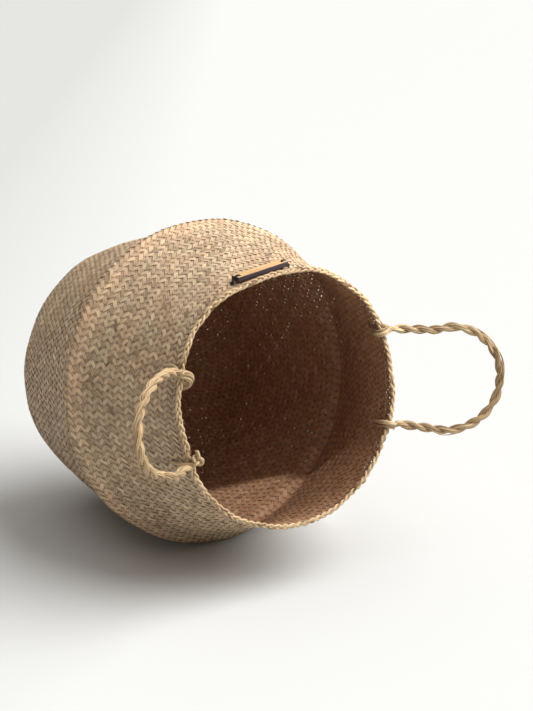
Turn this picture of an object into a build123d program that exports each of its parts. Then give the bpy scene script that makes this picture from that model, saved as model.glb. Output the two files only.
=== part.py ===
from build123d import *
import math
import os

# Seagrass belly basket, upright, in millimetres. Origin at the centre of the flat base, +Z up
# along the basket's axis. The front, with the label, faces -Y. The handles are on -X and +X.

# Driving dimensions
mouth_radius = 140.0        # middle of the weave at the rim
fold_radius = 187.0         # outside of the belly at the fold
bowl_height = 215.0         # base to fold
shoulder_height = 159.0     # fold to rim
neck_height = 39.0          # stiff band of weave below the rim that carries the handles
weave_thickness = 3.0       # two crossed layers of flat seagrass
fold_flare = 9.5            # how far the fold stands out from the wall below it
fold_flare_height = 15.0
base_corner_radius = 64.0
base_corner_sweep = 82.0    # degrees that the corner turns before the belly wall starts
base_panel_radius = 89.0
shoulder_sag = 6.0          # how far the shoulder hollows between fold and rim
rim_wire_radius = 3.2       # the braided edge
rim_seat = 2.56             # from the middle of the braided edge down to the top of the band under it
body_gap = 0.3              # between pieces that move apart

ply_radius = 2.5            # one of the two plies of the handle rope
rope_radius = 5.0
hitch_depth = 29.0          # rim down to the hole that the plies pass through
hitch_hole_radius = 3.2
hitch_slack = 1.8           # between the braided edge and the ply that goes round it
hitch_wall_gap = 1.5        # between the wall and the ply that lies along it
hitch_bends = [5.0, 5.0, 3.0, 3.0]      # two over the rim, two at the hole
rope_start = 13.0           # from the rim to where the two plies close into the rope
knot_inset = 3.0            # from the middle of the rim in to the middle of a knot
knot_gap = 0.5              # between a knot and the hitch beside it

label_length = 64.0
label_width = 14.0
label_thickness = 5.0
label_angle = -81.6         # degrees around Z
label_tilt = 8.0            # it leans as the wall behind it does
label_top_drop = 3.0        # its upper edge, below the rim's middle
label_standoff = 3.0        # from the middle of the rim to the label's back face
label_corner_radius = 1.5
label_hole_inset = 5.0
thread_radius = 0.6
thread_hole_radius = 1.1    # through the label and the weave
thread_knot_radius = 1.7
thread_knot_rise = 1.36     # middle of the outer knot, above the label's face
thread_reach = 8.8          # middle of the inner knot, behind the label's back

rim_z = bowl_height + shoulder_height
neck_z = rim_z - neck_height

# Each handle: which side it is on, half the distance between its ends along Y, its angle above
# the plane of the mouth, and its route as (distance out from the rim, Y) in its own plane.
left_handle = {
    "name": "left",
    "side": -1,
    "half_spread": 53.0,
    "rise": 33.0,
    "route": [
        (rope_start, -54), (34, -52), (56, -48.5), (79, -52), (101, -44.5), (118, -28), (127, -5),
        (125, 20), (114, 43), (93, 60), (67, 66), (40, 60), (rope_start, 53),
    ],
}
right_handle = {
    "name": "right",
    "side": 1,
    "half_spread": 49.0,
    "rise": 37.0,
    "route": [
        (rope_start, -50), (36, -56), (63, -55), (88, -49), (110, -38), (123, -22), (127, -2),
        (119, 17), (102, 31), (80, 40), (57, 47), (35, 52), (rope_start, 49),
    ],
}
knots = {"front": 6.5, "rear": 5.5}     # radii of the two knots that lie on the rim, on the right handle


def save(node, shape):
    export_step(shape, f"parts/{node}.step")


def at_angle(radius, angle, z):
    return Vector(radius * math.cos(angle), radius * math.sin(angle), z)


def wall_circle():
    """Centre and radius of the shoulder's outer arc, in (radius, z), hollow towards the outside."""
    top = Vector(mouth_radius + weave_thickness / 2, rim_z)
    bottom = Vector(fold_radius, bowl_height)
    chord = top - bottom
    middle = (top + bottom) * 0.5
    outward = Vector(chord.Y, -chord.X).normalized()
    radius = (chord.length ** 2 / 4 + shoulder_sag ** 2) / (2 * shoulder_sag)
    return middle + outward * (radius - shoulder_sag), radius


shoulder_centre, shoulder_arc = wall_circle()


def shoulder_radius(z, inward=0.0):
    """Radius of the shoulder's outer face at a height, or of a face that far inside it."""
    reach = shoulder_arc + inward
    return shoulder_centre.X - math.sqrt(reach ** 2 - (z - shoulder_centre.Y) ** 2)


def base_panel():
    return Pos(0, 0, weave_thickness / 2) * Cylinder(base_panel_radius, weave_thickness)


def sheet_ring(outer, inner):
    """A ring of woven sheet between two lines of joined edges in the XZ plane."""
    sides = [Line(outer[0] @ 0, inner[0] @ 0), Line(outer[-1] @ 1, inner[-1] @ 1)]
    return revolve(make_face([*outer, *inner, *sides]), Axis.Z)


def corner_point(turn, inward):
    """Where the corner's face has turned by an angle, from flat."""
    reach = base_corner_radius - inward
    return Vector(base_panel_radius + reach * math.sin(turn), 0, base_corner_radius - reach * math.cos(turn))


def corner_edge(inward):
    sweep = math.radians(base_corner_sweep)
    return ThreePointArc(*[corner_point(turn, inward) for turn in (0, sweep / 2, sweep)])


def base_corner():
    """The round corner between the base panel and the bowl's wall."""
    return sheet_ring([corner_edge(0)], [corner_edge(weave_thickness)])


def bowl_edges(inward):
    """The slightly full wall, and the flare that makes the fold stand proud of it."""
    sweep = math.radians(base_corner_sweep)
    heading = Vector(math.cos(sweep), 0, math.sin(sweep))
    flare = Vector(fold_radius - fold_flare - inward, 0, bowl_height - fold_flare_height)
    fold = Vector(shoulder_radius(bowl_height, inward), 0, bowl_height)
    return [TangentArc(corner_point(sweep, inward), flare, tangent=heading), Line(flare, fold)]


def bowl_wall():
    """The wall from the corner up to the fold."""
    return sheet_ring(bowl_edges(0), bowl_edges(weave_thickness))


def shoulder_edge(low, high, inward):
    heights = (low, (low + high) / 2, high)
    return ThreePointArc(*[Vector(shoulder_radius(z, inward), 0, z) for z in heights])


def shoulder_shell(low, high):
    """The wall between two heights above the fold."""
    return sheet_ring([shoulder_edge(low, high, 0)], [shoulder_edge(low, high, weave_thickness)])


def anchor(handle, end):
    """Angle around Z where one end of a handle crosses the rim; end is -1 at the front, 1 at the rear."""
    y = end * handle["half_spread"]
    x = handle["side"] * math.sqrt(mouth_radius ** 2 - y ** 2)
    return math.atan2(y, x)


def hitch_hole(angle):
    z = rim_z - hitch_depth
    centre = at_angle(shoulder_radius(z) - weave_thickness / 2, angle, z)
    plane = Plane(origin=centre, z_dir=at_angle(1, angle, 0))
    return plane * Cylinder(hitch_hole_radius, 6 * weave_thickness)


def rim_hitch(angle):
    """A ply of the rope closed around the rim: over the top, down both faces and through the wall."""
    reach = rim_wire_radius + ply_radius + hitch_slack
    low_z = rim_z - hitch_depth
    low_radius = shoulder_radius(low_z) - weave_thickness / 2
    side_reach = weave_thickness / 2 + ply_radius + hitch_wall_gap
    corners = [
        at_angle(mouth_radius - reach, angle, rim_z + reach),
        at_angle(mouth_radius + reach, angle, rim_z + reach),
        at_angle(low_radius + side_reach, angle, low_z),
        at_angle(low_radius - side_reach, angle, low_z),
    ]
    path = FilletPolyline(*corners, radius=hitch_bends, close=True)
    section = Plane(origin=path @ 0, z_dir=path % 0) * Circle(ply_radius)
    return sweep(section, path)


def route_points(handle):
    """The handle's route in space, from its own plane, which rises outwards from the rim."""
    rise = math.radians(handle["rise"])
    start_x = math.sqrt(mouth_radius ** 2 - handle["half_spread"] ** 2)
    return [
        Vector(handle["side"] * (start_x + out * math.cos(rise)), y, rim_z + out * math.sin(rise))
        for out, y in handle["route"]
    ]


def arc_radii(points):
    """One radius for each corner: 0.45 of its shorter run, over the tangent of half its turn."""
    radii = []
    for before, corner, after in zip(points, points[1:], points[2:]):
        turn = (corner - before).get_angle(after - corner)
        shorter = min((corner - before).length, (after - corner).length)
        radii.append(0.45 * shorter / math.tan(math.radians(turn) / 2))
    return radii


def handle_rope(handle):
    points = route_points(handle)
    radii = arc_radii(points)
    path = FilletPolyline(*points, radius=radii)
    section = Plane(origin=path @ 0, z_dir=path % 0) * Circle(rope_radius)
    rope = sweep(section, path)
    print(handle["name"], "handle radii", [round(r) for r in radii], "length", round(path.length, 1))
    print("  volume / section x length", round(rope.volume / (math.pi * rope_radius ** 2 * path.length), 4))
    return rope


def handle_knot(handle, end, radius):
    """A stopper knot on top of the rim, just inside it and clear of the hitch beside it."""
    aside = (ply_radius + radius + knot_gap) / mouth_radius
    angle = anchor(handle, end) - end * aside
    centre = at_angle(mouth_radius - knot_inset, angle, rim_z + rim_wire_radius + radius)
    return Pos(centre) * Sphere(radius)


def label_plane():
    """On the label's back face, at its middle: X along the label, Y up it and Z outwards."""
    angle = math.radians(label_angle)
    lean = math.radians(label_tilt)
    outward = at_angle(1, angle, 0)
    up = outward * -math.sin(lean) + Vector(0, 0, math.cos(lean))
    face = outward * math.cos(lean) + Vector(0, 0, math.sin(lean))
    top = at_angle(mouth_radius + label_standoff, angle, rim_z - label_top_drop)
    return Plane(origin=top - up * (label_width / 2), x_dir=up.cross(face), z_dir=face)


def label_tie_places():
    reach = label_length / 2 - label_hole_inset
    height = label_width / 2 - label_hole_inset
    return {"left": (-reach, height), "right": (reach, height)}


def label_plate():
    plate = extrude(RectangleRounded(label_length, label_width, label_corner_radius), label_thickness)
    for x, y in label_tie_places().values():
        plate -= Pos(x, y, 0) * Cylinder(thread_hole_radius, 4 * label_thickness)
    return label_plane() * plate


def label_thread_path(place):
    """From the knot on the label's face, back through the weave to the knot inside it."""
    frame = label_plane()
    x, y = place
    face = frame.from_local_coords(Vector(x, y, label_thickness + thread_knot_rise))
    inner = frame.from_local_coords(Vector(x, y, -thread_reach))
    return face, inner


def thread_cylinder(place, radius):
    face, inner = label_thread_path(place)
    run = inner - face
    return Plane(origin=face, z_dir=run) * Pos(0, 0, run.length / 2) * Cylinder(radius, run.length)


def label_tie(place):
    thread = thread_cylinder(place, thread_radius)
    for end in label_thread_path(place):
        thread += Pos(end) * Sphere(thread_knot_radius)
    return thread


def neck_band():
    band = shoulder_shell(neck_z, rim_z - rim_seat)
    for handle in (left_handle, right_handle):
        for end in (-1, 1):
            band -= hitch_hole(anchor(handle, end))
    for place in label_tie_places().values():
        band -= thread_cylinder(place, thread_hole_radius)
    return band


def rim_braid():
    return Pos(0, 0, rim_z) * Torus(mouth_radius, rim_wire_radius)


os.makedirs("parts", exist_ok=True)
save("base_panel", base_panel())
save("base_corner", base_corner())
save("bowl_wall", bowl_wall())
save("shoulder_wall", shoulder_shell(bowl_height, neck_z - body_gap))
save("neck_band", neck_band())
save("rim_braid", rim_braid())
for handle in (left_handle, right_handle):
    for end, place in ((-1, "front"), (1, "rear")):
        save(f"rim_hitch_{handle['name']}_{place}", rim_hitch(anchor(handle, end)))
    save(f"handle_rope_{handle['name']}", handle_rope(handle))
for end, place in ((-1, "front"), (1, "rear")):
    save(f"handle_knot_{place}", handle_knot(right_handle, end, knots[place]))
save("label_plate", label_plate())
for name, place in label_tie_places().items():
    save(f"label_thread_{name}", label_tie(place))
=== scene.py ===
import math

import bpy
import numpy as np
from mathutils import Matrix, Vector


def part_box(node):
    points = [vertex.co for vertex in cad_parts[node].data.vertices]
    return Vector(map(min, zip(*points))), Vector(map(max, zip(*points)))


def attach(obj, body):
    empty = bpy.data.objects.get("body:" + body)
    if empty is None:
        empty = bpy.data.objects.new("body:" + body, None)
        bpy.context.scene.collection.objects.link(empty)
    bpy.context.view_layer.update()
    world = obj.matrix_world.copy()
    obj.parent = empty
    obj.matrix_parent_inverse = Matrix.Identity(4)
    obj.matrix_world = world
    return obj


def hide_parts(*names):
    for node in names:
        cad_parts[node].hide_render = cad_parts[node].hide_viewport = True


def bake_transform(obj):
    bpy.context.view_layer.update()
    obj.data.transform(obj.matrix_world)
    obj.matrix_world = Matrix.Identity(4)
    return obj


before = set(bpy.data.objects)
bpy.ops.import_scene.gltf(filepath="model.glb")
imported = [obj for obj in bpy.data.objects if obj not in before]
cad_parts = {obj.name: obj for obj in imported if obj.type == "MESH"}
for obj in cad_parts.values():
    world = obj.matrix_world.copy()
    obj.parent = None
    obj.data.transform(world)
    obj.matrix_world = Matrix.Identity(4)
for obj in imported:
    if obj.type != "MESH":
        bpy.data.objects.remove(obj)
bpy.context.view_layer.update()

# Sizes read from the CAD nodes, in metres.
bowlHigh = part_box("bowl_wall")[1]
rimLow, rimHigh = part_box("rim_braid")
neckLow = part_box("neck_band")[0]
foldRadius = bowlHigh.x
foldZ = bowlHigh.z
rimWire = (rimHigh.z - rimLow.z) / 2
rimZ = (rimHigh.z + rimLow.z) / 2
mouthRadius = rimHigh.x - rimWire
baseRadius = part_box("base_panel")[1].x
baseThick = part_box("base_panel")[1].z


def deselectAll():
    for item in bpy.context.selected_objects:
        item.select_set(False)


def hexColor(text):
    # sRGB hex to linear RGBA
    parts = [int(text[i:i + 2], 16) / 255 for i in (0, 2, 4)]
    return [p / 12.92 if p <= 0.04045 else ((p + 0.055) / 1.055) ** 2.4 for p in parts] + [1.0]


def addNode(tree, kind, inputs=(), **settings):
    # one node; inputs is a dictionary of socket name or number to a value or to another node's socket
    node = tree.nodes.new(kind)
    for name, value in settings.items():
        setattr(node, name, value)
    for key, value in dict(inputs).items():
        if isinstance(value, bpy.types.NodeSocket):
            tree.links.new(value, node.inputs[key])
        else:
            node.inputs[key].default_value = value
    return node


def newMaterial(name):
    material = bpy.data.materials.new(name)
    material.use_nodes = True
    material.node_tree.nodes.clear()
    return material, material.node_tree


def finishMaterial(tree, shader):
    addNode(tree, "ShaderNodeOutputMaterial", {"Surface": shader.outputs[0]})


def mathNode(tree, operation, *values):
    return addNode(tree, "ShaderNodeMath", dict(enumerate(values)), operation=operation).outputs[0]


def mixColor(tree, fac, first, second):
    return addNode(tree, "ShaderNodeMix", {0: fac, 6: first, 7: second}, data_type="RGBA").outputs[2]


def mapRange(tree, value, fromMin, fromMax, toMin=0.0, toMax=1.0):
    sockets = {0: value, 1: fromMin, 2: fromMax, 3: toMin, 4: toMax}
    return addNode(tree, "ShaderNodeMapRange", sockets).outputs[0]


def noise(tree, vector, scale, detail):
    sockets = {"Vector": vector, "Scale": scale, "Detail": detail}
    return addNode(tree, "ShaderNodeTexNoise", sockets).outputs["Fac"]


def stretched(tree, vector, scale):
    return addNode(tree, "ShaderNodeMapping", {"Vector": vector, "Scale": scale}).outputs[0]


def bump(tree, height, strength, distance):
    sockets = {"Height": height, "Strength": strength, "Distance": distance}
    return addNode(tree, "ShaderNodeBump", sockets).outputs[0]


def surface(tree, color, roughness, more=()):
    sockets = {"Base Color": color, "Roughness": roughness, **dict(more)}
    return addNode(tree, "ShaderNodeBsdfPrincipled", sockets)


def colorRamp(tree, fac, stops):
    ramp = addNode(tree, "ShaderNodeValToRGB", {"Fac": fac})
    for extra in stops[2:]:
        ramp.color_ramp.elements.new(extra[0])
    for element, (place, color) in zip(ramp.color_ramp.elements, stops):
        element.position = place
        element.color = hexColor(color)
    return ramp.outputs["Color"]


# Seagrass: dried flat leaves. Every leaf has its own shade between straw and pink tan, with fine ribs and
# darker blotches along it. The side that faces into the basket keeps the browner, unbleached colour.
leafLook = {
    "blotchScale": (0.7, 55.0, 1.0),  # U runs once across a leaf, V in metres along it: 18 mm long
    "ribScale": (9.0, 60.0, 1.0),  # ribs 0.6 mm apart
    "patchScale": 26.0,  # leaves of one bundle lie in patches a few centimetres wide
    "blotchDepth": 0.45,
    "ribDepth": 0.7,
    "patchDepth": 1.2,
    "unbleached": "9a5a32",
    "shadow": "2a2018",
    # painted shade where a strip dives under its neighbour: how wide and how dark
    "diveShadeWidth": 0.34,  # share of the way up from under a neighbour
    "diveShadeDepth": 0.75,
    # painted edge shade: measured across the strip from this point, set off the middle so that the edge away
    # from the lamp is darker
    "middle": 0.53,
    "edgeShadeFrom": 0.40,  # how far from the middle the edge begins to darken
}


def leafColor(tree, place, straw, tan, rib, blotch, tone, tint):
    shade = mathNode(tree, "MULTIPLY_ADD", blotch, leafLook["blotchDepth"], tone)
    shade = mathNode(tree, "MULTIPLY_ADD", rib, leafLook["ribDepth"], shade)
    shade = mathNode(tree, "SUBTRACT", shade, (leafLook["blotchDepth"] + leafLook["ribDepth"]) / 2)
    patch = noise(tree, place, leafLook["patchScale"], 1.0)
    hue = mathNode(tree, "MULTIPLY_ADD", patch, leafLook["patchDepth"], tint)
    hue = mathNode(tree, "SUBTRACT", hue, leafLook["patchDepth"] / 2)
    return mixColor(tree, hue, colorRamp(tree, shade, straw), colorRamp(tree, shade, tan))


def leafMaterial(name, straw, tan, roughness, depth, edgeShadeDepth=0.0):
    material, tree = newMaterial(name)
    uv = addNode(tree, "ShaderNodeUVMap", uv_map="UVMap").outputs["UV"]
    place = addNode(tree, "ShaderNodeTexCoord").outputs["Object"]
    tone, tint, inner, lie = (
        addNode(tree, "ShaderNodeAttribute", attribute_name=kind).outputs["Fac"]
        for kind in ("tone", "tint", "inner", "lie")
    )
    blotch = noise(tree, stretched(tree, uv, leafLook["blotchScale"]), 1.0, 2.0)
    rib = noise(tree, stretched(tree, uv, leafLook["ribScale"]), 1.0, 3.0)
    dry = leafColor(tree, place, straw, tan, rib, blotch, tone, tint)
    brown = mixColor(tree, 0.50, dry, hexColor(leafLook["unbleached"]))
    color = mixColor(tree, inner, dry, brown)
    # painted shade: a narrow dark band where a strip dives under its neighbour, for the shadow in the gap
    # there
    shadow = hexColor(leafLook["shadow"])
    near = mathNode(tree, "ABSOLUTE", lie)
    gap = mapRange(tree, near, 0.0, leafLook["diveShadeWidth"], leafLook["diveShadeDepth"], 0.0)
    color = mixColor(tree, gap, color, shadow)
    # and painted shade along its edges, for the shadowed slits between neighbouring strips, stronger on one
    # edge
    parts = addNode(tree, "ShaderNodeSeparateXYZ", {0: uv})
    edge = mathNode(tree, "ABSOLUTE", mathNode(tree, "SUBTRACT", parts.outputs["X"], leafLook["middle"]))
    edgeShade = mapRange(tree, edge, leafLook["edgeShadeFrom"], 0.50, 0.0, edgeShadeDepth)
    color = mixColor(tree, edgeShade, color, shadow)
    more = {"IOR": 1.45, "Normal": bump(tree, rib, 0.6, depth), "Specular IOR Level": 0.3}
    finishMaterial(tree, surface(tree, color, roughness, more))
    return material


seagrassWeave = leafMaterial(
    "driedSeagrassPlaited",
    [(0.0, "54402c"), (1.0, "efd8b4"), (0.3, "9c8160"), (0.6, "c6aa85")],
    [(0.0, "5a3c28"), (1.0, "f2cda6"), (0.3, "a47a58"), (0.6, "cfa27a")],
    0.6, 0.0005, 0.8,
)
seagrassBraid = leafMaterial(
    "driedSeagrassBraided",
    [(0.0, "6c5236"), (1.0, "e6cda4"), (0.35, "a48862"), (0.7, "c9ac82")],
    [(0.0, "6e4c30"), (1.0, "e8caa0"), (0.35, "a9835a"), (0.7, "cda67a")],
    0.55, 0.0004,
)
seagrassRope = leafMaterial(
    "driedSeagrassTwisted",
    [(0.0, "5c452c"), (1.0, "dec49a"), (0.35, "967a56"), (0.7, "bc9f76")],
    [(0.0, "60422a"), (1.0, "e0c194"), (0.35, "9c7650"), (0.7, "c0986c")],
    0.52, 0.0005,
)
print("seagrass materials made")


def buildMesh(name, points, faces, uvs, shades, material, sharp=55):
    # faces is an array of quads, uvs has a pair for each of their corners, shades a value for each point
    mesh = bpy.data.meshes.new(name)
    mesh.vertices.add(len(points))
    mesh.vertices.foreach_set("co", np.asarray(points, np.float32).ravel())
    corners = faces.size
    mesh.loops.add(corners)
    mesh.loops.foreach_set("vertex_index", faces.ravel().astype(np.int32))
    mesh.polygons.add(len(faces))
    mesh.polygons.foreach_set("loop_start", np.arange(0, corners, 4, dtype=np.int32))
    mesh.update(calc_edges=True)
    layer = mesh.uv_layers.new(name="UVMap")
    layer.data.foreach_set("uv", np.asarray(uvs, np.float32).ravel())
    for kind, values in shades.items():
        attribute = mesh.attributes.new(kind, "FLOAT", "POINT")
        attribute.data.foreach_set("value", np.ascontiguousarray(values, np.float32))
    mesh.validate()
    item = bpy.data.objects.new(name, mesh)
    bpy.context.scene.collection.objects.link(item)
    mesh.materials.append(material)
    smoothByAngle(item, sharp)
    return item


def ringFaces(index):
    # quads between neighbouring rings; the last axis of index runs round a ring, the one before it along
    a, b = index[..., :-1, :], index[..., 1:, :]
    return np.stack([a, np.roll(a, -1, -1), np.roll(b, -1, -1), b], -1)


def ringUvs(left, right, low, high, shape):
    # a UV pair for each corner of those quads
    left, right, low, high = (np.broadcast_to(part, shape) for part in (left, right, low, high))
    corners = [(left, low), (right, low), (right, high), (left, high)]
    return np.stack([np.stack(corner, -1) for corner in corners], -2).reshape(-1, 2)


def pickOnly(item):
    deselectAll()
    item.select_set(True)
    bpy.context.view_layer.objects.active = item


def smoothByAngle(item, degrees):
    pickOnly(item)
    bpy.ops.object.shade_smooth_by_angle(angle=math.radians(degrees))
    item.select_set(False)


def standFor(item, body, slot, *nodes):
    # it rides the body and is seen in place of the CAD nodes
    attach(item, body)
    if nodes:
        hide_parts(*nodes)


# The wall's middle line, from the base's edge up to the rim, as (radius, height) every half millimetre.
wallShape = {
    "cornerRadius": 0.064,
    "cornerSweep": 82.0,
    "sheet": 0.003,  # thickness of the CAD wall
    "flareOut": 0.0095,  # how far the fold stands proud of the wall below it
    "flareHigh": 0.015,
    "sag": 0.006,  # hollow of the shoulder
    "step": 0.0005,
    "foldRound": 0.0015,  # the fold is bent over about this radius
}


def arcBetween(first, last, sag, count):
    # points on a flat arc whose middle stands sag to the left of the straight line from first to last
    chord = last - first
    side = np.array([-chord[1], chord[0]]) / np.hypot(*chord)
    t = np.linspace(0, 1, count)[:, None]
    return first + chord * t + side * sag * 4 * t * (1 - t)


def wallLine():
    half = wallShape["sheet"] / 2
    corner = wallShape["cornerRadius"]
    sweep = math.radians(wallShape["cornerSweep"])
    turn = np.linspace(0, sweep, 80)[:, None]
    cornerArc = np.hstack([
        baseRadius + (corner - half) * np.sin(turn),
        corner - (corner - half) * np.cos(turn),
    ])
    flare = np.array([foldRadius - wallShape["flareOut"] - half, foldZ - wallShape["flareHigh"]])
    fold = np.array([foldRadius - half, foldZ])
    chord = flare - cornerArc[-1]
    lean = sweep - math.atan2(chord[1], chord[0])
    wallArc = arcBetween(cornerArc[-1], flare, -np.hypot(*chord) / 2 * math.tan(lean / 2), 200)
    shoulderArc = arcBetween(fold, np.array([mouthRadius, rimZ]), wallShape["sag"], 200)
    line = np.vstack([cornerArc, wallArc[1:], shoulderArc])
    steps = np.r_[0, np.cumsum(np.hypot(*np.diff(line, axis=0).T))]
    even = np.linspace(0, steps[-1], int(steps[-1] / wallShape["step"]))
    line = np.column_stack([np.interp(even, steps, line[:, 0]), np.interp(even, steps, line[:, 1])])
    # averaging along the line rounds the corners and leaves its straight stretches as they are
    reach = int(wallShape["foldRound"] / wallShape["step"])
    window = np.ones(2 * reach + 1) / (2 * reach + 1)
    smooth = np.column_stack([np.convolve(line[:, i], window, "same") for i in (0, 1)])
    smooth[:reach] = line[:reach]
    smooth[-reach:] = line[-reach:]
    return even, smooth


lineLength, linePoints = wallLine()

# The body is made by hand. Dents of the soft mouth: degrees round it, width in degrees, metres outwards.
mouthDents = [
    (273, 20, -0.0062), (322, 17, 0.0034), (14, 14, -0.0032), (186, 20, -0.0042), (238, 14, -0.0010),
]
# Waves of the wall: how many round it, how far they turn on the way up, where they start, metres outwards.
wallWaves = [(5, 11, 0.0, 0.0007), (13, -23, 0.0, 0.0004)]
ovalWave = (2, 0.6, 0.0010)  # how many, where they start, metres outwards at the rim; none at the base


def handMade(angle, height):
    # unevenness of the whole body, in metres outwards
    rise = np.clip(height / rimZ, 0, 1)
    count, start, size = ovalWave
    push = size * np.sin(count * angle + start) * rise
    for count, turn, start, size in wallWaves:
        push = push + size * np.sin(count * angle + turn * rise + start)
    nearRim = np.clip((height - foldZ) / (rimZ - foldZ), 0, 1) ** 1.5
    for place, width, depth in mouthDents:
        push = push + depth * nearRim * bellRound(angle, place, width)
    return push


def bellRound(angle, place, width):
    # 1 at a place round the basket and falling off to both sides of it, both in degrees
    away = np.angle(np.exp(1j * (angle - math.radians(place))))
    return np.exp(-(away / math.radians(width)) ** 2)


def wallPoint(angle, height, out=0.0):
    # a point on the wall's middle, or out metres outside it
    radius = np.interp(height, linePoints[:, 1], linePoints[:, 0]) + handMade(angle, height) + out
    return Vector((radius * math.cos(angle), radius * math.sin(angle), height))


weave = {
    "strips": 140,  # in each of the two families
    "middleRadius": 0.163,  # where the strips cross at right angles
    "cover": 0.985,  # share of the spacing that a strip fills
    "looseCover": 0.910,  # the same where pinholes let light through
    "looseAngle": 214.0,  # where that is, and half how wide it is, in degrees
    "looseWidth": 22.0,
    "looseFrom": 0.06,  # how high it begins, and over how much it comes in
    "looseRise": 0.05,
    "rimCover": 0.66,  # and where the strips end under the braid
    "rimReach": 0.022,  # how far below the rim the strips begin to narrow
    "lift": 0.00048,  # how far a strip rises where it passes over
    "liftSpread": 0.00008,
    "half": 0.00032,  # half its thickness
    "bevel": 0.90,  # share of its width that is flat
    "sideways": 0.00022,  # how unevenly it lies
    "jitter": 0.00009,
    "roll": 0.06,  # one edge lies a little prouder than the other
    # painted highlight: the band above the fold is made paler where the light falls on the shoulder
    "tone": 0.44,  # the strips' middle shade
    "foldHighlight": 0.14,  # how much paler they are where they turn over above the fold
    "seed": 7,
}


def stripLean(radius):
    # lean of the strips from upright: the plait opens where the basket is wide
    upright = math.cos(math.pi / 4) * np.sqrt(weave["middleRadius"] / radius)
    return np.arccos(np.clip(upright, 0.05, 0.98))


def rowStations():
    # for every half row, how far a strip has turned round the axis and how far along the line it is
    slope = np.tan(stripLean(linePoints[:, 0])) / linePoints[:, 0]
    turn = np.r_[0, np.cumsum((slope[1:] + slope[:-1]) / 2 * np.diff(lineLength))]
    step = math.pi / weave["strips"] / 2
    turns = np.arange(int(turn[-1] / step) + 1) * step
    return turns, np.interp(turns, turn, lineLength)


stationTurn, stationLength = rowStations()
stationRadius = np.interp(stationLength, lineLength, linePoints[:, 0])
stationHeight = np.interp(stationLength, lineLength, linePoints[:, 1])
stationLean = stripLean(stationRadius)


def nearestRow(height):
    return int(np.argmin(np.abs(stationHeight - height))) // 2 * 2


foldStation = nearestRow(foldZ)
neckStation = nearestRow(neckLow.z)
rimStation = len(stationTurn) - 1
print("weave: rows", rimStation // 2, "fold at row", foldStation // 2, "neck at row", neckStation // 2)


def wallFrame(angle):
    # unit vectors round the wall, up it and out of it, at every strip and station
    rise = np.gradient(linePoints, lineLength, axis=0)
    upR = np.interp(stationLength, lineLength, rise[:, 0])
    upZ = np.interp(stationLength, lineLength, rise[:, 1])
    size = np.hypot(upR, upZ)
    upR, upZ = (upR / size)[None, :], (upZ / size)[None, :]
    cosine, sine = np.cos(angle), np.sin(angle)
    flat = np.zeros_like(angle)
    around = np.stack([-sine, cosine, flat], -1)
    up = np.stack([upR * cosine, upR * sine, upZ + flat], -1)
    outward = np.stack([upZ * cosine, upZ * sine, -upR + flat], -1)
    return around, up, outward


def stripWidth(draw, angle, height):
    # half the width of every strip at every station
    size = angle.shape
    narrow = np.clip((rimZ - height) / weave["rimReach"], 0, 1)
    cover = weave["rimCover"] + (weave["cover"] - weave["rimCover"]) * narrow
    loose = bellRound(angle, weave["looseAngle"], weave["looseWidth"])
    loose = loose * np.clip((height - weave["looseFrom"]) / weave["looseRise"], 0, 1)
    cover = cover - (weave["cover"] - weave["looseCover"]) * loose * narrow
    cover = cover + draw.normal(0, 0.008, (size[0], 1)) + draw.normal(0, 0.012, size)
    spacing = 2 * math.pi * stationRadius / size[0] * np.cos(stationLean)
    return spacing[None, :] * np.clip(cover, 0.6, 0.995) / 2


def stripShades(draw, strips, stations):
    # the shade and the hue of every strip at every station
    floats = np.repeat(draw.normal(0.0, 0.05, (strips, stations // 8 + 2)), 8, 1)[:, :stations]
    tone = weave["tone"] + draw.normal(0.0, 0.06, (strips, 1)) + floats
    # painted highlight: the strips are paler in a band just above the fold, where light falls on the
    # shoulder; they are also pinker there, which is their own colour
    turned = np.exp(-((stationHeight - foldZ - 0.011) / 0.010) ** 2)[None, :]
    tone = tone + weave["foldHighlight"] * turned
    tint = 0.25 + 0.35 * draw.random((strips, 1)) + 0.30 * turned
    return np.clip(tone, 0.02, 0.98), np.clip(tint, 0, 1)


def stripFamily(lean):
    # the cross-sections of every strip that leans one way (1 or -1), at every station
    draw = np.random.default_rng(weave["seed"] + (lean > 0))
    strips, stations = weave["strips"], len(stationTurn)
    size = (strips, stations)
    angle = np.arange(strips)[:, None] * 2 * math.pi / strips + lean * stationTurn[None, :]
    height = np.broadcast_to(stationHeight, size)
    around, up, outward = wallFrame(angle)
    tilt = stationLean[None, :, None]
    across = around * np.cos(tilt) - lean * up * np.sin(tilt)
    # over two, under two, by the row alone: level bands of floats that lean one way and then the other
    phase = np.mod(np.arange(stations) / 2 - 0.5, 4)
    wave = np.select([phase <= 1, (phase >= 2) & (phase <= 3)], [1.0, -1.0], 0.0) * lean
    lift = wave[None, :] * (weave["lift"] + draw.normal(0, weave["liftSpread"], size))
    drift = np.cumsum(draw.normal(0, 1, size), 1)
    drift -= drift.mean(1, keepdims=True)
    drift = weave["sideways"] * np.clip(drift / 5, -1.3, 1.3) + draw.normal(0, weave["jitter"], size)
    half = stripWidth(draw, angle, height)[..., None]
    thick = (weave["half"] * (1 + draw.normal(0, 0.1, (strips, 1))))[..., None]
    reach = stationRadius[None, :] + handMade(angle, height)
    middle = np.stack([reach * np.cos(angle), reach * np.sin(angle), height], -1)
    middle = middle + outward * lift[..., None] + across * drift[..., None]
    wide = across + outward * draw.normal(0, weave["roll"], size)[..., None]
    flat = half * weave["bevel"]
    ring = np.stack([
        middle - wide * half,
        middle - wide * flat + outward * thick,
        middle + wide * flat + outward * thick,
        middle + wide * half,
        middle + wide * flat - outward * thick,
        middle - wide * flat - outward * thick,
    ], 2)
    tone, tint = stripShades(draw, strips, stations)
    return ring, tone, tint, np.broadcast_to(wave[None, :], size)


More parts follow.
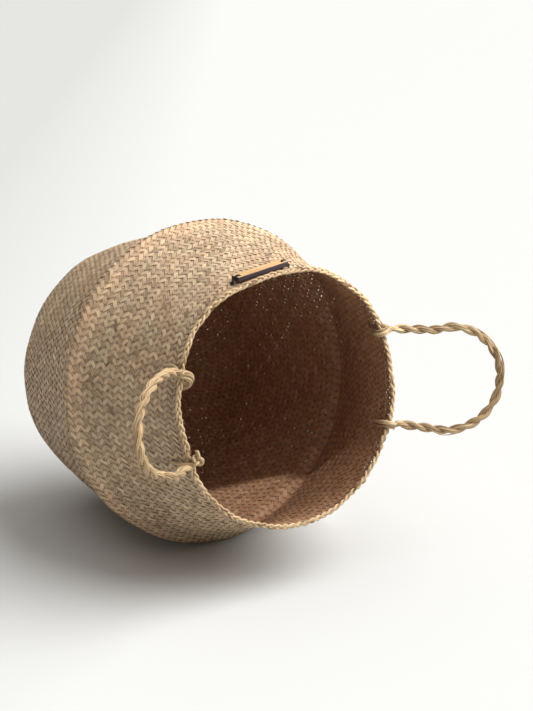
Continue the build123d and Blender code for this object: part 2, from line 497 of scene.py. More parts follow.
# Round a strip's section: how far each point faces into the basket, and U where each side starts and ends.
innerSide = np.array([0.5, 0.0, 0.0, 0.5, 1.0, 1.0])
acrossFrom = np.array([0.0, 0.08, 0.92, 1.0, 0.92, 0.08])
acrossTo = np.array([0.08, 0.92, 1.0, 0.92, 0.08, 0.0])


def stripPiece(name, family, first, last, shift):
    # one stretch of a family between two stations, every strip closed at both ends
    ring, tone, tint, lie = (part[:, first:last + 1] for part in family)
    strips, stations, sides = ring.shape[:3]
    index = np.arange(strips * stations * sides).reshape(strips, stations, sides)
    walls = ringFaces(index)
    caps = []
    for end, order in ((0, -1), (-1, 1)):
        rim = index[:, end, ::order]
        caps += [rim[:, [0, 1, 2, 3]], rim[:, [0, 3, 4, 5]]]
    faces = np.vstack([walls.reshape(-1, 4), *caps])
    along = (stationLength / np.cos(stationLean))[first:last + 1]
    # shift keeps the blotches of neighbouring strips apart
    offset = (np.arange(strips) * 1.37 + shift)[:, None, None]
    low, high = along[None, :-1, None] + offset, along[None, 1:, None] + offset
    uvs = ringUvs(acrossFrom, acrossTo, low, high, walls.shape[:3])
    shades = {
        "tone": np.repeat(tone.ravel(), sides),
        "tint": np.repeat(tint.ravel(), sides),
        "inner": np.tile(innerSide, strips * stations),
        "lie": np.repeat(lie.ravel(), sides),
    }
    capUvs = np.full((4 * strips * 4, 2), 0.5)
    return buildMesh(name, ring.reshape(-1, 3), faces, np.vstack([uvs, capUvs]), shades, seagrassWeave, 30)


families = {"Rising": stripFamily(1), "Falling": stripFamily(-1)}
middleStation = foldStation // 4 * 2
for word, family in families.items():
    shift = 0.0 if word == "Rising" else 0.61
    for part, first, last in (("bowlLower", 0, middleStation), ("bowlUpper", middleStation, foldStation)):
        bowlStrips = stripPiece(part + word, family, first, last, shift)
        standFor(bowlStrips, "bowl", "seagrass_weave", "bowl_wall", "base_corner")
    shoulderStrips = stripPiece("shoulder" + word, family, foldStation, neckStation, shift)
    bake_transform(shoulderStrips)
    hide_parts("shoulder_wall")
    neckStrips = stripPiece("neck" + word, family, neckStation, rimStation, shift)
    standFor(neckStrips, "neck", "seagrass_weave", "neck_band")
print("weave: strips laid")


# Rope: each ply is a bundle of leaves, so its section has a few lobes that turn slowly along it.
ropePlan = {
    "diameter": 0.010,
    "plyRadius": 0.00275,
    "plyOffset": 0.0023,  # from the rope's middle to a ply's middle
    "pitch": 0.037,  # one full turn of the two plies, right-handed
    "lobes": 7,
    "sides": 28,
    "step": 0.0012,
}


def routeLine(route, step=ropePlan["step"]):
    # evenly spaced points along the smooth curve that has the route as its control points
    curve = bpy.data.curves.new("route", "CURVE")
    curve.dimensions = "3D"
    spline = curve.splines.new("NURBS")
    spline.points.add(len(route) - 1)
    for point, place in zip(spline.points, route):
        point.co = (*place, 1)
    spline.order_u = 3
    spline.use_endpoint_u = True
    spline.resolution_u = 24
    item = bpy.data.objects.new("route", curve)
    mesh = bpy.data.meshes.new_from_object(item)
    line = np.array([vertex.co[:] for vertex in mesh.vertices])
    bpy.data.objects.remove(item)
    bpy.data.curves.remove(curve)
    bpy.data.meshes.remove(mesh)
    return evenLine(line, step)


def lineLengths(line):
    return np.r_[0, np.cumsum(np.linalg.norm(np.diff(line, axis=0), axis=1))]


def evenLine(line, step):
    reach = lineLengths(line)
    even = np.linspace(0, reach[-1], max(int(reach[-1] / step), 8))
    return np.column_stack([np.interp(even, reach, line[:, i]) for i in range(3)])


def lineFrames(line, first=(0, 0, 1)):
    # directions along the line and two across it that don't twist, starting nearest to first
    along = np.gradient(line, axis=0)
    along /= np.linalg.norm(along, axis=1)[:, None]
    side = np.array(first, float)
    sides = []
    for direction in along:
        side = side - direction * side.dot(direction)
        side = side / np.linalg.norm(side)
        sides.append(side)
    sides = np.array(sides)
    return along, sides, np.cross(along, sides)


def twistedPair(line, offset, pitch):
    # the middles of two plies that turn round the line, one of them on top at both ends
    along, side, other = lineFrames(line)
    reach = lineLengths(line)
    top = np.array([0, 0, 1.0]) - along[-1] * along[-1][2]
    lag = math.atan2(top.dot(other[-1]), top.dot(side[-1]))
    turns = round(2 * (reach[-1] / pitch - lag / (2 * math.pi))) / 2
    wander = 0.35 * np.sin(reach / 0.021) + 0.25 * np.sin(reach / 0.0087 + 1)
    wander *= np.sin(math.pi * reach / reach[-1])
    phase = (turns * 2 * math.pi + lag) * reach / reach[-1] + wander
    spread = offset * (side * np.cos(phase)[:, None] + other * np.sin(phase)[:, None])
    return line + spread, line - spread


def bundleRings(line, radius, lobes, turn, sides, seed):
    # rings of points round a bundle of leaves, and the shade of each point
    draw = np.random.default_rng(seed)
    along, side, other = lineFrames(line, (0.3, 0.2, 0.93))
    reach = lineLengths(line)
    around = np.arange(sides) * 2 * math.pi / sides
    twist = turn * reach + 0.5 * np.sin(reach / 0.017 + seed)
    crest = np.abs(np.cos(lobes / 2 * around)) if lobes else np.ones(sides) * 0.6
    rough = draw.normal(0, 0.025, (len(line), sides)) + draw.normal(0, 0.05, (1, sides))
    swell = 1 + 0.05 * np.sin(reach / 0.011 + 2 * seed)
    size = (np.asarray(radius) * swell)[:, None] * (0.88 + 0.17 * crest[None, :] + rough)
    angle = around[None, :] + twist[:, None]
    ring = line[:, None, :] + size[..., None] * (
        side[:, None, :] * np.cos(angle)[..., None] + other[:, None, :] * np.sin(angle)[..., None]
    )
    leaves = max(lobes, 1)
    leaf = (around * leaves / (2 * math.pi) + 0.5).astype(int) % leaves
    shades = draw.normal(0, 0.12, leaves)[leaf]
    # painted shade: the grooves between the leaves are darker
    tone = 0.52 + shades[None, :] - 0.30 * (1 - crest[None, :]) ** 2
    tone = tone + draw.normal(0, 0.03, (len(line), sides))
    tint = np.broadcast_to(draw.random(leaves)[leaf][None, :], tone.shape)
    return ring, np.clip(tone, 0, 1), tint, reach


def bundle(name, line, radius, material, lobes=5, turn=-60.0, sides=20, seed=1):
    # a closed tube of leaves along a line; radius is one value or one for each point
    radius = np.broadcast_to(np.asarray(radius, float), (len(line),))
    ring, tone, tint, reach = bundleRings(line, radius, lobes, turn, sides, seed)
    index = np.arange(len(line) * sides).reshape(len(line), sides)
    walls = ringFaces(index)
    caps = []
    for end, order in ((0, -1), (-1, 1)):
        rim = index[end, ::order]
        caps += [[rim[i], rim[i + 1], rim[sides - 2 - i], rim[sides - 1 - i]] for i in range(sides // 2 - 1)]
    faces = np.vstack([walls.reshape(-1, 4), np.array(caps)])
    across = np.linspace(0, 4, sides + 1)
    low, high = (part[:, None] + seed * 0.37 for part in (reach[:-1], reach[1:]))
    uvs = ringUvs(across[:-1], across[1:], low, high, walls.shape[:2])
    uvs = np.vstack([uvs, np.full((len(caps) * 4, 2), 0.5)])
    shades = {
        "tone": tone.ravel(), "tint": tint.ravel(), "inner": np.zeros(tone.size), "lie": np.ones(tone.size),
    }
    return buildMesh(name, ring.reshape(-1, 3), faces, uvs, shades, material, 50)


def joinPieces(name, items):
    deselectAll()
    for item in items:
        item.select_set(True)
    bpy.context.view_layer.objects.active = items[0]
    bpy.ops.object.join()
    joined = bpy.context.object
    joined.name = name
    joined.select_set(False)
    return joined


# The two handles. Each route runs from the front end to the rear end as (distance out from the rim, Y), in a
# plane that rises outwards. Loose leaves: where along the rope each starts and ends, how far it lifts off.
handlePlan = {
    "left": {
        "side": -1, "halfSpread": 0.053, "rise": 33.0, "length": 0.295, "seed": 3,
        "route": [
            (0.013, -0.054), (0.034, -0.052), (0.056, -0.0485), (0.079, -0.052), (0.101, -0.0445),
            (0.118, -0.028), (0.127, -0.005), (0.125, 0.020), (0.114, 0.043), (0.093, 0.060),
            (0.067, 0.066), (0.040, 0.060), (0.013, 0.053),
        ],
        "loose": [(0.30, 0.46, 0.0012), (0.52, 0.40, 0.0022), (0.72, 0.86, 0.0016)],
    },
    "right": {
        "side": 1, "halfSpread": 0.049, "rise": 37.0, "length": 0.275, "seed": 9,
        "route": [
            (0.013, -0.050), (0.036, -0.056), (0.063, -0.055), (0.088, -0.049), (0.110, -0.038),
            (0.123, -0.022), (0.127, -0.002), (0.119, 0.017), (0.102, 0.031), (0.080, 0.040),
            (0.057, 0.047), (0.035, 0.052), (0.013, 0.049),
        ],
        "loose": [
            (0.30, 0.47, 0.0030), (0.40, 0.56, 0.0042), (0.50, 0.66, 0.0040),
            (0.62, 0.50, 0.0030), (0.74, 0.62, 0.0026), (0.22, 0.36, 0.0016),
        ],
    },
}


def handleLine(plan):
    rise = math.radians(plan["rise"])
    startX = math.sqrt(mouthRadius ** 2 - plan["halfSpread"] ** 2)
    return routeLine([
        (plan["side"] * (startX + out * math.cos(rise)), y, rimZ + out * math.sin(rise))
        for out, y in plan["route"]
    ])


def looseLeaf(name, line, first, last, lift, seed):
    # a thin leaf that lies along the rope and stands off it towards its end
    draw = np.random.default_rng(seed)
    ends = int(first * len(line)), int(last * len(line))
    picked = line[min(ends):max(ends)]
    if last < first:
        picked = picked[::-1]
    along = lineFrames(picked)[0]
    t = np.linspace(0, 1, len(picked))
    angle = draw.random() * 1.2 - 1.3 + 1.8 * t
    away = ropePlan["diameter"] / 2 - 0.0006 + lift * t ** 2
    outside = picked - picked.mean(0)
    outside -= along * (outside * along).sum(1)[:, None]
    outside /= np.linalg.norm(outside, axis=1)[:, None]
    push = outside * np.cos(angle)[:, None] + np.cross(along, outside) * np.sin(angle)[:, None]
    radius = 0.0008 * (1 - 0.75 * t ** 3)
    return bundle(name, picked + push * away[:, None], radius, seagrassRope, 0, 0.0, 6, seed)


handleEnds = {}
for word, plan in handlePlan.items():
    line = handleLine(plan)
    plies = twistedPair(line, ropePlan["plyOffset"], ropePlan["pitch"])
    look = (ropePlan["plyRadius"], seagrassRope, ropePlan["lobes"], -60.0, ropePlan["sides"])
    parts = [bundle(f"ply{word}{i}", ply, *look, plan["seed"] + i) for i, ply in enumerate(plies)]
    rope = joinPieces("handleRope" + word.title(), parts)
    standFor(rope, "handle_" + word, "seagrass_rope", "handle_rope_" + word)
    leaves = [
        looseLeaf(f"loose{word}{i}", line, *leaf, plan["seed"] + 20 + i)
        for i, leaf in enumerate(plan["loose"])
    ]
    loose = joinPieces("looseLeaves" + word.title(), leaves)
    standFor(loose, "handle_" + word, "seagrass_rope")
    handleEnds[word] = {
        "front": [(ply[0], ply[0] - ply[3]) for ply in plies],
        "rear": [(ply[-1], ply[-1] - ply[-4]) for ply in plies],
    }
    print("handle", word, "rope length", round(lineLengths(line)[-1], 4))


# Where the rope's two plies meet the rim. Places are (aside, down, out) in metres: towards the middle of the
# handle, down the wall from the rim, and out of the wall's middle.
hitchStops = {
    "overAndIn": [
        (0, -0.0062, 0.004), (0, -0.0064, -0.0030), (0, 0.002, -0.0068), (0, 0.012, -0.0048),
        (0, 0.022, -0.0036), (0, 0.029, -0.0022), (0, 0.0300, 0.0012),
    ],
    "downOutside": [
        (0, 0.004, 0.0075), (0, 0.012, 0.0052), (0, 0.021, 0.0040), (0, 0.0285, 0.0022), (0, 0.0298, -0.0012),
    ],
    "curlFront": [
        (0.0005, -0.0066, 0.003), (0.0005, -0.0070, -0.004), (0.003, -0.0060, -0.010),
        (0.0085, -0.0030, -0.0115), (0.0125, 0.0006, -0.0080), (0.0120, 0.0030, -0.0040),
        (0.0080, 0.0060, -0.0010),
    ],
    "tailFront": [
        (-0.0030, 0.0060, 0.0030), (-0.0036, 0.0120, 0.0042), (-0.0034, 0.0190, 0.0040),
        (-0.0028, 0.0265, 0.0026), (-0.0016, 0.0290, -0.0012),
    ],
    "stubRear": [
        (-0.001, -0.0060, -0.004), (0.004, -0.0085, -0.006), (0.010, -0.0100, -0.0065),
        (0.015, -0.0105, -0.0055),
    ],
    "toKnotRear": [(0, -0.0055, 0.005), (0, -0.0075, 0.000), (0.001, -0.0080, -0.004)],
}


def rimPlace(angle, toMiddle, place):
    aside, down, out = place
    height = rimZ - down * 0.96
    point = wallPoint(angle + toMiddle * aside / mouthRadius, min(height, rimZ), out)
    point.z = height
    return tuple(point)


def endAngle(word, place):
    plan = handlePlan[word]
    y = plan["halfSpread"] * (1 if place == "rear" else -1)
    return math.atan2(y, plan["side"] * math.sqrt(mouthRadius ** 2 - y ** 2))


def rimRoute(word, place, stops):
    toMiddle = handlePlan[word]["side"] * (1 if place == "front" else -1)
    return [rimPlace(endAngle(word, place), toMiddle, stop) for stop in stops]


def hitchPly(name, word, place, which, stops, radius, seed):
    # a ply that goes on from the rope's end and follows the stops
    start, heading = handleEnds[word][place][which]
    heading = heading / np.linalg.norm(heading)
    first = [tuple(start - heading * 0.0015), tuple(start + heading * 0.004)]
    line = routeLine(first + rimRoute(word, place, stops), 0.0009)
    t = np.linspace(0, 1, len(line))
    return bundle(name, line, radius * (1 - 0.35 * t ** 3), seagrassRope, seed=seed)


def freePly(name, word, place, stops, radius, seed, lobes=5, sides=16):
    # a loose stretch of ply that joins nothing
    line = routeLine(rimRoute(word, place, stops), 0.0008)
    t = np.linspace(0, 1, len(line))
    return bundle(name, line, radius * (1 - 0.3 * t ** 4), seagrassRope, lobes, -60.0, sides, seed)


def stopsOf(name, aside=0.0, down=0.0, out=0.0, first=0):
    # a named route moved as a whole, from its first stop or a later one
    return [(a + aside, d + down, o + out) for a, d, o in hitchStops[name][first:]]


def trefoil(count, depth):
    # the closed line of an overhand knot, about six units across
    t = np.linspace(0, 2 * math.pi, count)
    return np.column_stack([
        np.sin(t) + 2 * np.sin(2 * t), np.cos(t) - 2 * np.cos(2 * t), -depth * np.sin(3 * t)
    ])


def overhandKnot(name, centre, scale, radius, seed):
    turn = np.array(Matrix.Rotation(0.6, 3, "X") @ Matrix.Rotation(0.5, 3, "Y"))
    line = trefoil(90, 1.25) * scale @ turn.T + np.array(centre)
    return bundle(name, line, radius, seagrassRope, 4, -80.0, 14, seed)


def addHitch(word, place, parts):
    hitch = joinPieces(f"hitch{word.title()}{place.title()}", parts)
    standFor(hitch, "neck", "seagrass_rope", f"rim_hitch_{word}_{place}")


def addKnot(name, place, parts):
    standFor(joinPieces(name, parts), "neck", "seagrass_rope", f"handle_knot_{place}")


def upperPly(word, place):
    starts = handleEnds[word][place]
    return 0 if starts[0][0][2] > starts[1][0][2] else 1


for place, seed in (("front", 50), ("rear", 60)):
    upper = upperPly("left", place)
    addHitch("left", place, [
        hitchPly("over", "left", place, upper, stopsOf("overAndIn", 0.001), 0.0027, seed),
        hitchPly("under", "left", place, 1 - upper, stopsOf("downOutside", -0.001), 0.0026, seed + 1),
        freePly("leaf", "left", place, stopsOf("overAndIn", -0.0035, 0, 0.0008), 0.0011, seed + 2, 0, 8),
    ])

upper = upperPly("right", "front")
beside = stopsOf("curlFront", 0.0042, 0.0012, 0.0012)
addHitch("right", "front", [hitchPly("tail", "right", "front", 1 - upper, stopsOf("tailFront"), 0.0020, 73)])
addKnot("curlFront", "front", [
    hitchPly("curlA", "right", "front", upper, stopsOf("curlFront"), 0.0029, 70),
    hitchPly("curlB", "right", "front", 1 - upper, beside, 0.0028, 71),
])

upper = upperPly("right", "rear")
outside = [(0.003, -0.006, 0.002)] + stopsOf("downOutside", 0.003)
addHitch("right", "rear", [
    hitchPly("overA", "right", "rear", upper, stopsOf("toKnotRear"), 0.0025, 80),
    hitchPly("overB", "right", "rear", 1 - upper, stopsOf("toKnotRear", 0.003), 0.0024, 81),
    freePly("down", "right", "rear", outside, 0.0019, 82),
    freePly("inside", "right", "rear", stopsOf("overAndIn", 0.002, first=2), 0.0019, 83),
])
knotPlace = rimPlace(endAngle("right", "rear"), -1, (0.0035, -0.0085, -0.0035))
addKnot("knotRear", "rear", [
    overhandKnot("trefoil", knotPlace, 0.00185, 0.0019, 90),
    freePly("stub", "right", "rear", stopsOf("stubRear"), 0.0018, 91),
    freePly("stubLeaf", "right", "rear", stopsOf("stubRear", 0.0015, 0, 0.002), 0.0010, 92, 0, 8),
])
print("handles and hitches made")


# Rim: a flat three-strand braid laid on the edge, its strands crossing from side to side.
braidPlan = {
    "periods": 33,
    "perPeriod": 26,  # points along each strand
    "strandRadius": 0.00135,
    "sides": 10,
    "across": 0.0019,  # how far a strand swings to the sides, and over and under the others
    "over": 0.0010,
    "lean": 28.0,  # outwards over the edge
}


def braidStrand(index):
    draw = np.random.default_rng(200 + index)
    count = braidPlan["periods"] * braidPlan["perPeriod"]
    angle = np.arange(count) * 2 * math.pi / count
    wave = braidPlan["periods"] * angle + index * 2 * math.pi / 3
    across = braidPlan["across"] * np.sin(wave) + 0.00035 * np.sin(7 * angle + index)
    over = braidPlan["over"] * np.sin(2 * wave) + 0.0002 * np.sin(19 * angle + 2 * index)
    radius = mouthRadius + handMade(angle, np.full(count, rimZ))
    height = rimZ + 0.0007 * np.sin(9 * angle) + 0.0005 * np.sin(23 * angle + 1)
    lean = math.radians(braidPlan["lean"])
    out = across * math.cos(lean) + over * math.sin(lean)
    up = -across * math.sin(lean) + over * math.cos(lean)
    reach = radius + out
    line = np.column_stack([reach * np.cos(angle), reach * np.sin(angle), height + up])
    swell = 1 + 0.12 * np.sin(5 * angle + 3 * index) + draw.normal(0, 0.03, count)
    thick = braidPlan["strandRadius"] * swell
    line = np.vstack([line, line[:2]])  # the ends overlap, so the ring closes
    thick = np.r_[thick, thick[:2]]
    return bundle(f"braid{index}", line, thick, seagrassBraid, 3, 90.0, braidPlan["sides"], 210 + index)


rim = joinPieces("rimBraid", [braidStrand(i) for i in range(3)])
standFor(rim, "neck", "seagrass_braid", "rim_braid")
print("rim braided")


# Label: a small blank wooden plate, its cut edges burnt dark, tied on with black thread.
def woodMaterial():
    material, tree = newMaterial("beechPlate")
    place = addNode(tree, "ShaderNodeTexCoord").outputs["Object"]
    # grain lines 1 mm apart that run along the plate
    grain = noise(tree, stretched(tree, place, (60.0, 60.0, 1300.0)), 1.0, 3.0)
    color = colorRamp(tree, grain, [(0.3, "a9804f"), (0.75, "dcb88a"), (0.52, "c89c68")])
    finishMaterial(tree, surface(tree, color, 0.55, {"Normal": bump(tree, grain, 0.3, 0.0002)}))
    return material


def plainMaterial(name, color, roughness):
    material, tree = newMaterial(name)
    finishMaterial(tree, surface(tree, hexColor(color), roughness))
    return material


labelPlan = {
    "length": 0.064,
    "width": 0.014,
    "thick": 0.005,
    "angle": -81.6,  # where it is round the mouth
    "tilt": 8.0,  # it leans as the wall behind it does
    "drop": 0.003,  # below the rim
    "standoff": 0.0030,
    "holeInset": 0.005,
    "holeRadius": 0.0011,
    "edge": 0.0003,
}


def labelFrame():
    # on the label's back face at its middle: x along it, y up it, z outwards
    angle, lean = math.radians(labelPlan["angle"]), math.radians(labelPlan["tilt"])
    outward = Vector((math.cos(angle), math.sin(angle), 0))
    up = outward * -math.sin(lean) + Vector((0, 0, math.cos(lean)))
    face = outward * math.cos(lean) + Vector((0, 0, math.sin(lean)))
    # it lies on the uneven wall
    pressed = float(handMade(np.array(angle % (2 * math.pi)), np.array(rimZ)))
    top = outward * (mouthRadius + labelPlan["standoff"] + pressed)
    top += Vector((0, 0, rimZ - labelPlan["drop"]))
    turn = Matrix((up.cross(face), up, face)).transposed().to_4x4()
    return Matrix.Translation(top - up * labelPlan["width"] / 2) @ turn


def moveInto(item, matrix):
    item.data.transform(matrix @ item.matrix_world)
    item.matrix_world = Matrix.Identity(4)


def drillHole(plate, x, y):
    depth = 3 * labelPlan["thick"]
    bpy.ops.mesh.primitive_cylinder_add(
        vertices=24, radius=labelPlan["holeRadius"], depth=depth, location=(x, y, 0)
    )
    drill = bpy.context.object
    cut = plate.modifiers.new("hole", "BOOLEAN")
    cut.object = drill
    cut.solver = "EXACT"
    bpy.context.view_layer.objects.active = plate
    bpy.ops.object.modifier_apply(modifier=cut.name)
    bpy.data.objects.remove(drill)


def addLabel():
    length, width, thick = (labelPlan[key] for key in ("length", "width", "thick"))
    deselectAll()
    bpy.ops.mesh.primitive_cube_add(size=1, location=(0, 0, thick / 2))
    plate = bpy.context.object
    plate.name = "labelPlate"
    plate.scale = (length, width, thick)
    bpy.ops.object.transform_apply(location=True, rotation=False, scale=True)
    holeX, holeY = length / 2 - labelPlan["holeInset"], width / 2 - labelPlan["holeInset"]
    for side in (-1, 1):
        drillHole(plate, side * holeX, holeY)
    rounding = plate.modifiers.new("edges", "BEVEL")
    rounding.width = labelPlan["edge"]
    rounding.segments = 2
    rounding.limit_method = "ANGLE"
    bpy.context.view_layer.objects.active = plate
    plate.select_set(True)
    bpy.ops.object.modifier_apply(modifier=rounding.name)
    plate.data.materials.append(woodMaterial())
    plate.data.materials.append(plainMaterial("burntEdge", "33242a", 0.7))
    for polygon in plate.data.polygons:
        polygon.material_index = 0 if abs(polygon.normal.z) > 0.9 else 1
    smoothByAngle(plate, 30)
    moveInto(plate, labelFrame())
    standFor(plate, "neck", "label_wood", "label_plate")
    return holeX, holeY


threadPlan = {
    "radius": 0.0007,
    "knot": 0.00062,  # scale of the knot's line
    "knotRadius": 0.000665,
    "apart": 0.0011,  # between the two strands
    "sides": 8,
}


def threadTube(name, line, radius, material):
    return bundle(name, line, radius, material, 0, 0.0, threadPlan["sides"], 5)


def threadStops(holeX, holeY):
    # through the hole, round the end of the plate and into the weave
    thick, edge = labelPlan["thick"], labelPlan["length"] / 2
    return [
        (holeX, holeY, -0.0095), (holeX, holeY, -0.003), (holeX, holeY, thick * 0.8),
        (holeX + 0.0006, holeY, thick + 0.0011), (holeX + 0.0030, holeY + 0.0002, thick + 0.0010),
        (edge + 0.0006, holeY - 0.0006, thick + 0.0001), (edge + 0.0026, holeY - 0.0020, thick * 0.3),
        (edge + 0.0050, holeY - 0.0030, -0.0026), (edge + 0.0058, holeY - 0.0032, -0.0085),
    ]


def addThread(word, side, holeX, holeY, material):
    # two strands side by side, with a knot at the plate's end
    space = labelFrame()
    stops = threadStops(holeX, holeY)
    line = routeLine([tuple(space @ Vector((side * x, y, z))) for x, y, z in stops], 0.0005)
    strand = threadTube("strand", line, threadPlan["radius"], material)
    moved = [(side * x, y - threadPlan["apart"], z + 0.0002) for x, y, z in stops[1:]]
    line = routeLine([tuple(space @ Vector(stop)) for stop in moved], 0.0005)
    beside = threadTube("beside", line, threadPlan["radius"], material)
    centre = space @ Vector((side * (labelPlan["length"] / 2 + 0.0044), holeY - 0.0028, -0.0012))
    line = trefoil(60, 1.3) * threadPlan["knot"] + np.array(centre)
    knot = threadTube("knot", line, threadPlan["knotRadius"], material)
    thread = joinPieces("thread" + word, [strand, beside, knot])
    standFor(thread, "neck", "black_thread", "label_thread_" + word.lower())


holeX, holeY = addLabel()
threadMaterial = plainMaterial("waxedBlackThread", "17161a", 0.5)
for word, side in (("Left", -1), ("Right", 1)):
    addThread(word, side, holeX, holeY, threadMaterial)
print("label tied on")


# Base: a flat disc plaited over two, under two, its strips parallel and square to each other.
basePlan = {
    "pitch": 0.00517,  # from strip to strip
    "cover": 0.94,
    "reach": 0.0015,  # how far it runs on under the corner
    "seed": 31,
    "weld": 0.00001,
}


def basePlaces():
    # the strips' middles, the stations along them, and how far each station is after the disc's edge cuts it
    pitch = basePlan["pitch"]
    edge = baseRadius + basePlan["reach"]
    strips = int(2 * edge / pitch)
    offsets = (np.arange(strips) - (strips - 1) / 2) * pitch
    stations = (np.arange(2 * strips + 1) - strips) * pitch / 2
    chord = np.sqrt(np.maximum(edge ** 2 - (np.abs(offsets) + pitch / 2) ** 2, 1e-6))[:, None]
    return offsets, stations, np.clip(stations[None, :], -chord, chord)


def baseRings(turned):
    offsets, stations, along = basePlaces()
    strips = len(offsets)
    row = along / basePlan["pitch"] + (strips - 1) / 2
    place = np.mod(row + (1 if turned else -1) * np.arange(strips)[:, None] + (2 if turned else 0), 4)
    wave = np.clip(np.interp(place, [0, 1, 1.5, 2, 3, 3.5, 4], [1, 1, 0, -1, -1, 0, 1]), -1, 1)
    lift = wave * weave["lift"] + baseThick / 2
    half = basePlan["pitch"] * basePlan["cover"] / 2
    flat = half * weave["bevel"]
    profile = [(-half, 0), (-flat, 1), (flat, 1), (half, 0), (flat, -1), (-flat, -1)]
    across, run = (0, 1) if turned else (1, 0)
    ring = np.empty(along.shape + (6, 3))
    for i, (side, rise) in enumerate(profile):
        ring[..., i, across] = offsets[:, None] + side
        ring[..., i, run] = along
        ring[..., i, 2] = lift + rise * weave["half"]
    return ring, wave, offsets, stations


def closeStrips(item):
    # welds what the disc's edge cut to nothing and closes the strips' ends
    pickOnly(item)
    bpy.ops.object.mode_set(mode="EDIT")
    bpy.ops.mesh.select_all(action="SELECT")
    bpy.ops.mesh.remove_doubles(threshold=basePlan["weld"])
    bpy.ops.mesh.dissolve_degenerate(threshold=basePlan["weld"])
    bpy.ops.mesh.select_all(action="DESELECT")
    bpy.ops.mesh.select_non_manifold()
    bpy.ops.mesh.fill_holes(sides=8)
    bpy.ops.mesh.select_all(action="SELECT")
    bpy.ops.mesh.normals_make_consistent(inside=False)
    bpy.ops.object.mode_set(mode="OBJECT")
    item.select_set(False)


def baseFamily(name, turned):
    draw = np.random.default_rng(basePlan["seed"] + turned)
    ring, wave, offsets, stations = baseRings(turned)
    walls = ringFaces(np.arange(wave.size * 6).reshape(wave.shape + (6,)))
    shift = offsets[:, None, None] * 9
    low, high = stations[None, :-1, None] + shift, stations[None, 1:, None] + shift
    uvs = ringUvs(acrossFrom, acrossTo, low, high, walls.shape[:3])
    walls = walls.reshape(-1, 4)
    if not turned:
        walls = walls[:, ::-1]
    strips = len(offsets)
    tone = 0.42 + draw.normal(0, 0.06, (strips, 1)) + draw.normal(0, 0.03, wave.shape)
    tint = 0.8 * draw.random((strips, 1)) + 0 * wave
    shades = {
        "tone": np.repeat(np.clip(tone, 0, 1).ravel(), 6),
        "tint": np.repeat(tint.ravel(), 6),
        "inner": np.tile(1 - innerSide, wave.size),
        "lie": np.repeat(wave.ravel(), 6),
    }
    base = buildMesh(name, ring.reshape(-1, 3), walls, uvs, shades, seagrassWeave, 30)
    closeStrips(base)
    standFor(base, "bowl", "seagrass_weave", "base_panel")


baseFamily("baseAlong", False)
baseFamily("baseAcross", True)
print("base laid")


# Camera at the side of the mouth, rolled so that the label is at the top and the basket lies on its side.
cameraPlan = {
    "aim": (-0.0629, -0.0227, 0.2394),
    "distance": 1.95,
    "azimuth": 73.39,
    "elevation": 55.14,
    "roll": -99.37,
    "lens": 86.1,
}


def addCamera():
    azimuth, elevation, roll = (math.radians(cameraPlan[k]) for k in ("azimuth", "elevation", "roll"))
    level = Vector((math.sin(azimuth), -math.cos(azimuth), 0)) * math.cos(elevation)
    toward = level + Vector((0, 0, math.sin(elevation)))
    right = (-toward).cross(Vector((0, 0, 1))).normalized()
    camUp = right.cross(-toward) * math.cos(roll) + right * math.sin(roll)
    camRight = (-toward).cross(camUp)
    camera = bpy.data.objects.new("camera", bpy.data.cameras.new("camera"))
    bpy.context.scene.collection.objects.link(camera)
    camera.data.lens = cameraPlan["lens"]
    camera.data.sensor_width = 36
    place = Vector(cameraPlan["aim"]) + toward * cameraPlan["distance"]
    turn = Matrix((camRight, camUp, toward)).transposed().to_4x4()
    camera.matrix_world = Matrix.Translation(place) @ turn
    bpy.context.scene.camera = camera
    return camRight


camRight = addCamera()
print("camera placed")


# A pale floor that the basket's side lies on, seen only from above so that it never hides the object.
floorPlan = {
    "slope": 9.5,  # degrees from the plane of the basket's axis
    "gap": 0.0015,
    "size": 60.0,
    "color": "bbbcbb",
    # painted shade: the floor greys towards the camera's left, for the light that is weaker on that side
    "falloffShadeColor": "a9aaa9",  # it greys towards the camera's left, between these two distances
    "falloffShadeFrom": 0.0,
    "falloffShadeTo": -0.45,
}


def floorMaterial():
    material, tree = newMaterial("paintedBoard")
    place = addNode(tree, "ShaderNodeTexCoord").outputs["Object"]
    # roller stipple about 1 mm across
    stipple = bump(tree, noise(tree, place, 900.0, 2.0), 0.03, 0.0005)
    sockets = {0: place, 1: tuple(camRight)}
    aside = addNode(tree, "ShaderNodeVectorMath", sockets, operation="DOT_PRODUCT").outputs["Value"]
    # painted shade towards the camera's left
    dim = mapRange(tree, aside, floorPlan["falloffShadeTo"], floorPlan["falloffShadeFrom"])
    color = mixColor(tree, dim, hexColor(floorPlan["falloffShadeColor"]), hexColor(floorPlan["color"]))
    paint = surface(tree, color, 0.8, {"Normal": stipple})
    clear = addNode(tree, "ShaderNodeBsdfTransparent")
    back = addNode(tree, "ShaderNodeNewGeometry").outputs["Backfacing"]
    sockets = {0: back, 1: paint.outputs[0], 2: clear.outputs[0]}
    finishMaterial(tree, addNode(tree, "ShaderNodeMixShader", sockets))
    return material


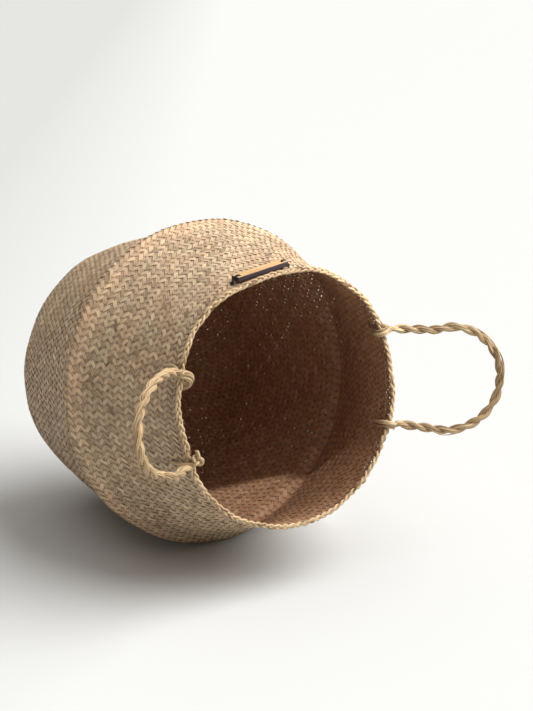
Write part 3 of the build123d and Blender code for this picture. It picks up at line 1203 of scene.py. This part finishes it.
def addFloor():
    slope = math.radians(floorPlan["slope"])
    normal = Vector((0, -math.cos(slope), math.sin(slope)))
    lowest = min(normal.y * r + normal.z * z for r, z in linePoints)
    deselectAll()
    bpy.ops.mesh.primitive_plane_add(size=floorPlan["size"])
    floor = bpy.context.object
    floor.name = "floor"
    turn = Vector((0, 0, 1)).rotation_difference(normal).to_matrix().to_4x4()
    moveInto(floor, Matrix.Translation(normal * (lowest - floorPlan["gap"])) @ turn)
    floor.data.materials.append(floorMaterial())


addFloor()
print("floor laid")


# Soft studio light: a broad lamp beyond the label side of the mouth, a wide weak one above the floor, a spot
# through the mouth onto the inner wall, and a warm, pale surround.
lightPlan = {
    "key": {"from": (-0.52, -0.70, 0.47), "spread": 58.0, "strength": 5.0},
    "above": {"from": (-0.15, -0.94, 0.30), "spread": 100.0, "strength": 1.35},
    "inside": {
        "at": (-0.080, 0.146, 0.140), "from": (-0.06, -0.72, 0.69), "reach": 2.5, "cone": 6.0,
        "power": 190.0, "size": 0.04,
    },
    "surround": {"color": "f6ede3", "strength": 0.34},
}


def addLamp(name, kind):
    lamp = bpy.data.objects.new(name, bpy.data.lights.new(name, kind))
    bpy.context.scene.collection.objects.link(lamp)
    lamp.rotation_euler = Vector(lightPlan[name]["from"]).to_track_quat("Z", "Y").to_euler()
    return lamp


def addSun(name):
    lamp = addLamp(name, "SUN")
    lamp.data.energy = lightPlan[name]["strength"]
    lamp.data.angle = math.radians(lightPlan[name]["spread"])


def addInsideSpot():
    plan = lightPlan["inside"]
    lamp = addLamp("inside", "SPOT")
    lamp.location = Vector(plan["at"]) + Vector(plan["from"]).normalized() * plan["reach"]
    lamp.data.energy = plan["power"]
    lamp.data.spot_size = math.radians(plan["cone"])
    lamp.data.spot_blend = 1.0
    lamp.data.shadow_soft_size = plan["size"]


def addSurround():
    world = bpy.data.worlds.new("surround")
    bpy.context.scene.world = world
    world.use_nodes = True
    background = world.node_tree.nodes["Background"]
    background.inputs["Color"].default_value = hexColor(lightPlan["surround"]["color"])
    background.inputs["Strength"].default_value = lightPlan["surround"]["strength"]


addSun("key")
addSun("above")
addInsideSpot()
addSurround()
bpy.context.scene.view_settings.view_transform = "Standard"
print("lights set")
